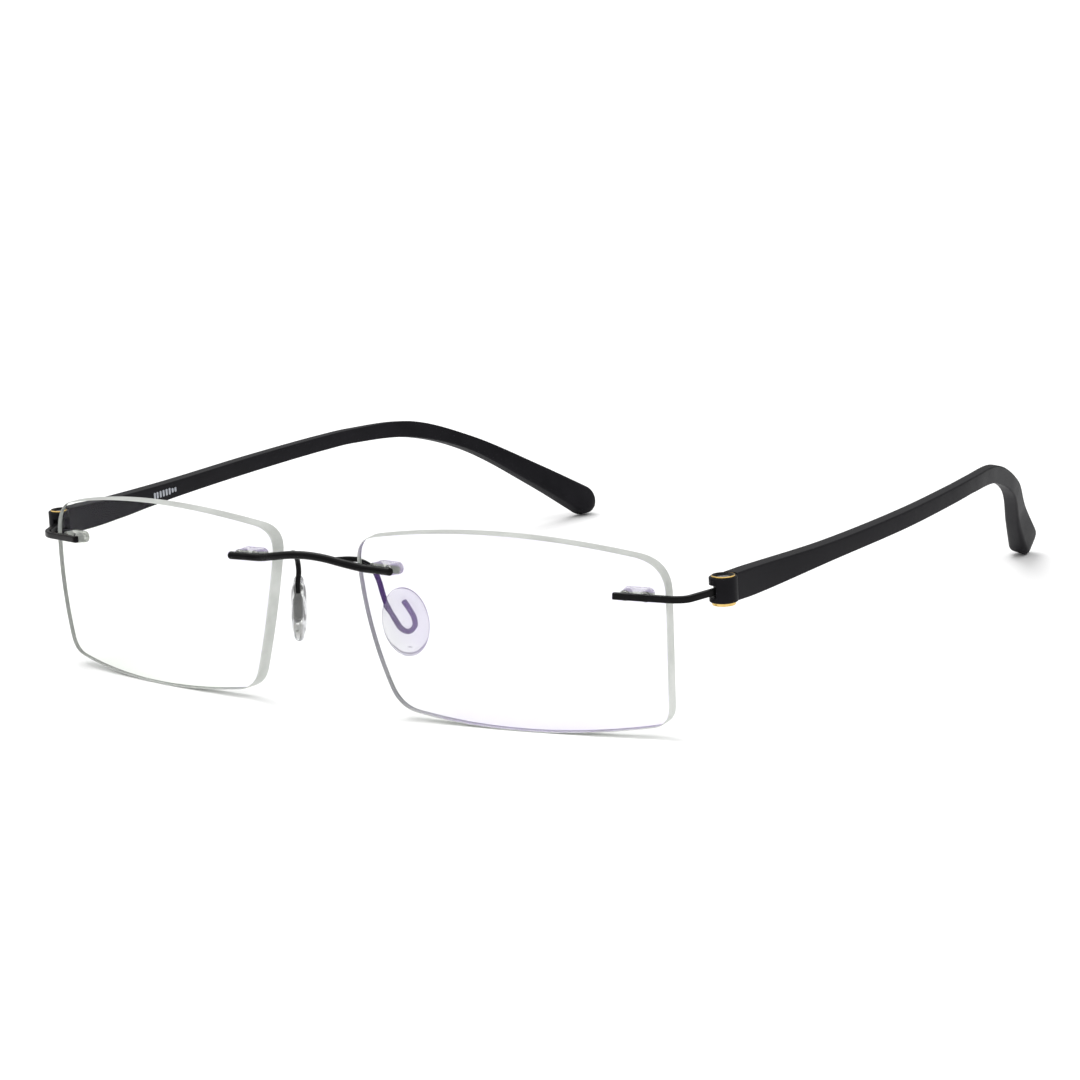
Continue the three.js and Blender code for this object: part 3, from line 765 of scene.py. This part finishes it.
class Look:
    """A material with a Principled shader and a few helpers for its pattern nodes."""

    def __init__(self, name, **sockets):
        self.material = bpy.data.materials.new(name)
        self.material.use_nodes = True
        self.nodes = self.material.node_tree.nodes
        self.links = self.material.node_tree.links
        self.shader = self.nodes["Principled BSDF"]
        for socket, value in sockets.items():
            self.shader.inputs[socket.replace("_", " ")].default_value = value
        self.place = self.nodes.new("ShaderNodeTexCoord").outputs["Object"]

    def noise(self, scale, detail=4.0, stretch=(1, 1, 1)):
        mapping = self.nodes.new("ShaderNodeMapping")
        mapping.inputs["Scale"].default_value = stretch
        self.links.new(self.place, mapping.inputs["Vector"])
        noise = self.nodes.new("ShaderNodeTexNoise")
        noise.inputs["Scale"].default_value = scale
        noise.inputs["Detail"].default_value = detail
        self.links.new(mapping.outputs["Vector"], noise.inputs["Vector"])
        return noise.outputs["Fac"]

    def spread(self, value, low, high, from_low=0.3, from_high=0.7):
        node = self.nodes.new("ShaderNodeMapRange")
        for socket, number in (("From Min", from_low), ("From Max", from_high),
                               ("To Min", low), ("To Max", high)):
            node.inputs[socket].default_value = number
        self.links.new(value, node.inputs["Value"])
        return node.outputs["Result"]

    def blend(self, value, first, second):
        node = self.nodes.new("ShaderNodeMix")
        node.data_type = "RGBA"
        self.links.new(value, node.inputs["Factor"])
        node.inputs["A"].default_value = (*first, 1)
        node.inputs["B"].default_value = (*second, 1)
        return node.outputs["Result"]

    def mix(self, value, first, second):
        node = self.nodes.new("ShaderNodeMix")
        node.data_type = "RGBA"
        for socket, source in (("Factor", value), ("A", first), ("B", second)):
            self.links.new(source, node.inputs[socket])
        return node.outputs["Result"]

    def outline_shade(self, centre, edge, start=0.35, stop=0.9):
        """The second colour where the surface turns away: painted shade along a clear piece's
        outline.
        """
        facing = self.nodes.new("ShaderNodeLayerWeight")
        facing.inputs["Blend"].default_value = 0.5
        return self.blend(self.spread(facing.outputs["Facing"], 0, 1, start, stop), centre, edge)

    def feed(self, socket, value):
        self.links.new(value, self.shader.inputs[socket])

    def bump(self, height, distance, strength=1.0):
        node = self.nodes.new("ShaderNodeBump")
        node.inputs["Distance"].default_value = distance
        node.inputs["Strength"].default_value = strength
        self.links.new(height, node.inputs["Height"])
        self.feed("Normal", node.outputs["Normal"])

    def let_lamps_through(self):
        """Shadow rays pass, so that clear pieces cast no dark shadow."""
        surface = self.nodes["Material Output"].inputs["Surface"]
        mix = self.nodes.new("ShaderNodeMixShader")
        clear = self.nodes.new("ShaderNodeBsdfTransparent")
        path = self.nodes.new("ShaderNodeLightPath")
        self.links.new(path.outputs["Is Shadow Ray"], mix.inputs["Fac"])
        self.links.new(surface.links[0].from_socket, mix.inputs[1])
        self.links.new(clear.outputs["BSDF"], mix.inputs[2])
        self.links.new(mix.outputs["Shader"], surface)


def temple_look():
    look = Look("temple_matt_black", Specular_IOR_Level=0.055)
    grain = look.noise(5200, 3)
    cloud = look.noise(160, 4)
    look.feed("Base Color", look.blend(look.spread(cloud, 0, 1), (0.0080, 0.0077, 0.0092),
                                       (0.0122, 0.0117, 0.0140)))
    look.feed("Roughness", look.spread(cloud, 0.42, 0.52))
    look.bump(grain, 0.000018)
    return look.material


def black_metal_look():
    look = Look("black_coated_metal", Specular_IOR_Level=0.085)
    cloud = look.noise(420, 4)
    look.feed("Base Color", look.blend(look.spread(cloud, 0, 1), (0.0035, 0.0033, 0.0035),
                                       (0.007, 0.0066, 0.007)))
    look.feed("Roughness", look.spread(cloud, 0.2, 0.3))
    look.bump(look.noise(7000, 2), 0.000004)
    return look.material


def gold_look():
    look = Look("gold_plate", Metallic=1.0)
    cloud = look.noise(700, 4)
    look.feed("Base Color", look.blend(look.spread(cloud, 0, 1), (0.60, 0.39, 0.11),
                                       (0.80, 0.57, 0.22)))
    look.feed("Roughness", look.spread(cloud, 0.14, 0.26))
    look.bump(look.noise(5000, 2, (1, 1, 0.08)), 0.000004)
    return look.material


def steel_look():
    look = Look("polished_steel", Metallic=1.0)
    cloud = look.noise(900, 4)
    look.feed("Base Color", look.blend(look.spread(cloud, 0, 1), (0.55, 0.55, 0.56),
                                       (0.72, 0.72, 0.73)))
    look.feed("Roughness", look.spread(cloud, 0.12, 0.24))
    return look.material


GLASS_IOR = 1.32
# The share of the clear material that mirrors nothing, and the violet film's share over it, seen
# head on and at a glancing angle.
UNMIRRORED_SHARE = 0.85
FILM_COLOUR = (0.5, 0.24, 1.0, 1)
FILM_HEAD_ON, FILM_GLANCING = 0.15, 0.002
FILM_FULL_TO, FILM_GONE_FROM = 0.24, 0.32


def lens_face_look():
    """Clear lens material under an anti-reflection film that mirrors violet near head on."""
    look = Look("lens_coated", Base_Color=(0.975, 1, 0.96, 1), Transmission_Weight=1.0,
                Roughness=0.0, IOR=GLASS_IOR)
    passed = look.nodes.new("ShaderNodeBsdfRefraction")
    passed.inputs["IOR"].default_value = GLASS_IOR
    passed.inputs["Roughness"].default_value = 0
    passed.inputs["Color"].default_value = (0.988, 1, 0.98, 1)
    coated = look.nodes.new("ShaderNodeMixShader")
    coated.inputs["Fac"].default_value = UNMIRRORED_SHARE
    look.links.new(look.shader.outputs["BSDF"], coated.inputs[1])
    look.links.new(passed.outputs["BSDF"], coated.inputs[2])
    film = look.nodes.new("ShaderNodeBsdfGlossy")
    film.inputs["Roughness"].default_value = 0.02
    film.inputs["Color"].default_value = FILM_COLOUR
    facing = look.nodes.new("ShaderNodeLayerWeight")
    facing.inputs["Blend"].default_value = 0.5
    amount = look.spread(facing.outputs["Facing"], FILM_HEAD_ON, FILM_GLANCING,
                         FILM_FULL_TO, FILM_GONE_FROM)
    cloud = look.spread(look.noise(45, 2), 0.85, 1.15)
    strength = look.nodes.new("ShaderNodeMath")
    strength.operation = "MULTIPLY"
    look.links.new(amount, strength.inputs[0])
    look.links.new(cloud, strength.inputs[1])
    outside = look.nodes.new("ShaderNodeMath")
    outside.operation = "SUBTRACT"
    outside.inputs[0].default_value = 1
    outside.use_clamp = True
    look.links.new(look.nodes.new("ShaderNodeNewGeometry").outputs["Backfacing"],
                   outside.inputs[1])
    share = look.nodes.new("ShaderNodeMath")
    share.operation = "MULTIPLY"
    look.links.new(strength.outputs["Value"], share.inputs[0])
    look.links.new(outside.outputs["Value"], share.inputs[1])
    mix = look.nodes.new("ShaderNodeMixShader")
    look.links.new(share.outputs["Value"], mix.inputs["Fac"])
    look.links.new(coated.outputs["Shader"], mix.inputs[1])
    look.links.new(film.outputs["BSDF"], mix.inputs[2])
    look.links.new(mix.outputs["Shader"], look.nodes["Material Output"].inputs["Surface"])
    look.let_lamps_through()
    return look.material


def lens_edge_look():
    """The ground edge: frosted, pale grey-green, with fine grinding lines along it. Faces turned
    upward are darker, as painted shade.
    """
    look = Look("lens_ground_edge", Transmission_Weight=0.12, IOR=1.5, Specular_IOR_Level=0.4)
    cloud = look.noise(240, 5)
    upright = look.nodes.new("ShaderNodeSeparateXYZ")
    look.links.new(look.nodes.new("ShaderNodeNewGeometry").outputs["Normal"],
                   upright.inputs["Vector"])
    ground = look.blend(look.spread(cloud, 0, 1), (0.58, 0.60, 0.57), (0.72, 0.74, 0.71))
    # Painted shade: the darker colour given to the edge faces that turn upward.
    upward_shade = look.blend(look.spread(cloud, 0, 1), (0.40, 0.41, 0.39), (0.50, 0.515, 0.49))
    look.feed("Base Color", look.mix(look.spread(upright.outputs["Z"], 0, 1, 0.1, 0.9),
                                     ground, upward_shade))
    look.feed("Roughness", look.spread(look.noise(1500, 3), 0.42, 0.6))
    look.bump(look.noise(3800, 3, (1, 0.25, 1)), 0.00003)
    return look.material


def clear_plastic_look():
    look = Look("clear_bush", Transmission_Weight=0.78, IOR=1.49)
    # The darker second colour is painted shade along the bush's outline.
    look.feed("Base Color", look.outline_shade((0.80, 0.81, 0.77), (0.40, 0.41, 0.40), 0.45, 0.95))
    look.feed("Roughness", look.spread(look.noise(900, 3), 0.04, 0.14))
    look.bump(look.noise(1800, 2), 0.00002)
    look.let_lamps_through()
    return look.material


def silicone_look():
    look = Look("clear_silicone", Transmission_Weight=0.84, IOR=1.38)
    # The darker second colour is painted shade along the pad's outline.
    look.feed("Base Color", look.outline_shade((0.82, 0.83, 0.81), (0.36, 0.36, 0.42), 0.42, 0.85))
    look.feed("Roughness", look.spread(look.noise(500, 3), 0.02, 0.07))
    look.bump(look.noise(900, 3), 0.00001)
    look.let_lamps_through()
    return look.material


def print_look():
    look = Look("pale_print", Roughness=0.5)
    look.feed("Base Color", look.blend(look.noise(6000, 2), (0.30, 0.32, 0.36),
                                       (0.46, 0.48, 0.52)))
    return look.material


def floor_look():
    look = Look("pale_floor", Specular_IOR_Level=0.0, Roughness=1.0)
    cloud = look.noise(3, 2)
    look.feed("Base Color", look.blend(cloud, (0.93, 0.93, 0.93), (0.94, 0.94, 0.94)))
    return look.material


LOOKS = {
    "tr90": temple_look(),
    "black_metal": black_metal_look(),
    "gold": gold_look(),
    "steel": steel_look(),
    "clear_plastic": clear_plastic_look(),
    "silicone": silicone_look(),
    "lens": lens_face_look(),
}
# The sleeve's second look is black metal, used as painted shade in its bore and slot.
SECOND_LOOKS = {"lens": lens_edge_look(), "gold": LOOKS["black_metal"]}


# ---------- assembly ----------

def finish(piece, node, slot, body):
    for look in (LOOKS[slot], SECOND_LOOKS.get(slot)):
        if look:
            piece.data.materials.append(look)
    if slot == "gold":
        paint_sleeve_shade(piece)
    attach(piece, body)
    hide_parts(node)


def add_pair(node, slot, make, *details, moving=False):
    """Makes the left piece, mirrors it for the right, and puts both on their bodies."""
    piece = make(f"fine_left_{node}", *details)
    twin = mirrored(piece, f"fine_right_{node}")
    for side, made in (("left", piece), ("right", twin)):
        finish(made, f"{side}_{node}", slot, f"{side}_temple" if moving else "front")


add_pair("lens", "lens", lens_piece)
add_pair("bridge_bush", "clear_plastic", bush_piece, NASAL_FRAME)
add_pair("endpiece_bush", "clear_plastic", bush_piece, TEMPORAL_FRAME)
for place, matrix in (("bridge", NASAL_FRAME), ("endpiece", TEMPORAL_FRAME)):
    for which, side in (("inner", -1), ("outer", 1)):
        add_pair(f"{place}_pin_{which}", "steel", pin_piece, matrix, side)
add_pair("endpiece", "black_metal", endpiece_piece)
add_pair("pad_arm", "black_metal", arm_piece)
add_pair("nose_pad", "silicone", pad_piece)
add_pair("hinge_sleeve", "gold", sleeve_piece)
add_pair("hinge_pin", "steel", hinge_pin_piece)
add_pair("temple", "tr90", temple_piece, moving=True)
mark = mirrored(mark_piece("left_mark"), "fine_right_temple_mark")
bpy.data.objects.remove(bpy.data.objects["left_mark"])
mark.data.materials.append(print_look())
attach(mark, "right_temple")
bridge = tube("fine_bridge", bridge_path(), BRIDGE_RADIUS, BRIDGE_RADIUS * BRIDGE_END_DOME)
finish(bridge, "bridge", "black_metal", "front")

# ---------- floor, light, camera ----------

FLOOR_SIZE = 12
bpy.ops.mesh.primitive_plane_add(size=FLOOR_SIZE, location=(0, 0, 0))
floor = bpy.context.object
floor.name = "floor"
floor.data.materials.append(floor_look())

# The studio's light comes from above: the world is bright overhead and dim near the horizon.
WORLD_LOW, WORLD_HIGH = 0.3, 1.18
WORLD_DIM_BELOW, WORLD_FULL_ABOVE = 0.12, 0.62
world = bpy.data.worlds.new("studio")
bpy.context.scene.world = world
world.use_nodes = True
sky = world.node_tree
direction = sky.nodes.new("ShaderNodeTexCoord")
split = sky.nodes.new("ShaderNodeSeparateXYZ")
ramp = sky.nodes.new("ShaderNodeMapRange")
ramp.inputs["From Min"].default_value = WORLD_DIM_BELOW
ramp.inputs["From Max"].default_value = WORLD_FULL_ABOVE
ramp.inputs["To Min"].default_value = WORLD_LOW
ramp.inputs["To Max"].default_value = WORLD_HIGH
sky.links.new(direction.outputs["Generated"], split.inputs["Vector"])
sky.links.new(split.outputs["Z"], ramp.inputs["Value"])
sky.links.new(ramp.outputs["Result"], sky.nodes["Background"].inputs["Strength"])
sky.nodes["Background"].inputs["Color"].default_value = (1, 1, 1, 1)

# One broad lamp, above the glasses, to the wearer's right and a little behind.
SUN_DIRECTION = Vector((-0.55, 0.35, 1))
SUN_STRENGTH = 1.15
SUN_SPREAD = math.radians(38)
sun_data = bpy.data.lights.new("broad_lamp", "SUN")
sun_data.energy = SUN_STRENGTH
sun_data.angle = SUN_SPREAD
sun = bpy.data.objects.new("broad_lamp", sun_data)
bpy.context.scene.collection.objects.link(sun)
sun.rotation_euler = SUN_DIRECTION.to_track_quat("Z", "Y").to_euler()

# Camera: aimed at a point of the design, from an azimuth and elevation, with a slight roll.
CAMERA_AZIMUTH = math.radians(35.458)
CAMERA_ELEVATION = math.radians(11.422)
CAMERA_ROLL = math.radians(-2.803)
CAMERA_DISTANCE = 547.07
CAMERA_TARGET = Vector((42.63, 0, 34.47))
CAMERA_LENS = 121.04
CAMERA_SHIFT = (0.00506, -0.02077)

back = Vector((
    math.sin(CAMERA_AZIMUTH) * math.cos(CAMERA_ELEVATION),
    -math.cos(CAMERA_AZIMUTH) * math.cos(CAMERA_ELEVATION),
    math.sin(CAMERA_ELEVATION),
))
level = Vector((math.cos(CAMERA_AZIMUTH), math.sin(CAMERA_AZIMUTH), 0))
upright = back.cross(level)
across = level * math.cos(CAMERA_ROLL) + upright * math.sin(CAMERA_ROLL)
upward = upright * math.cos(CAMERA_ROLL) - level * math.sin(CAMERA_ROLL)
camera_data = bpy.data.cameras.new("camera")
camera_data.sensor_width = 36
camera_data.lens = CAMERA_LENS
camera_data.shift_x, camera_data.shift_y = CAMERA_SHIFT
camera_data.clip_start, camera_data.clip_end = 0.01, 50
camera = bpy.data.objects.new("camera", camera_data)
bpy.context.scene.collection.objects.link(camera)
camera.matrix_world = basis(across, upward, back, to_row(CAMERA_TARGET + back * CAMERA_DISTANCE))
bpy.context.scene.camera = camera
bpy.context.scene.view_settings.view_transform = "Standard"
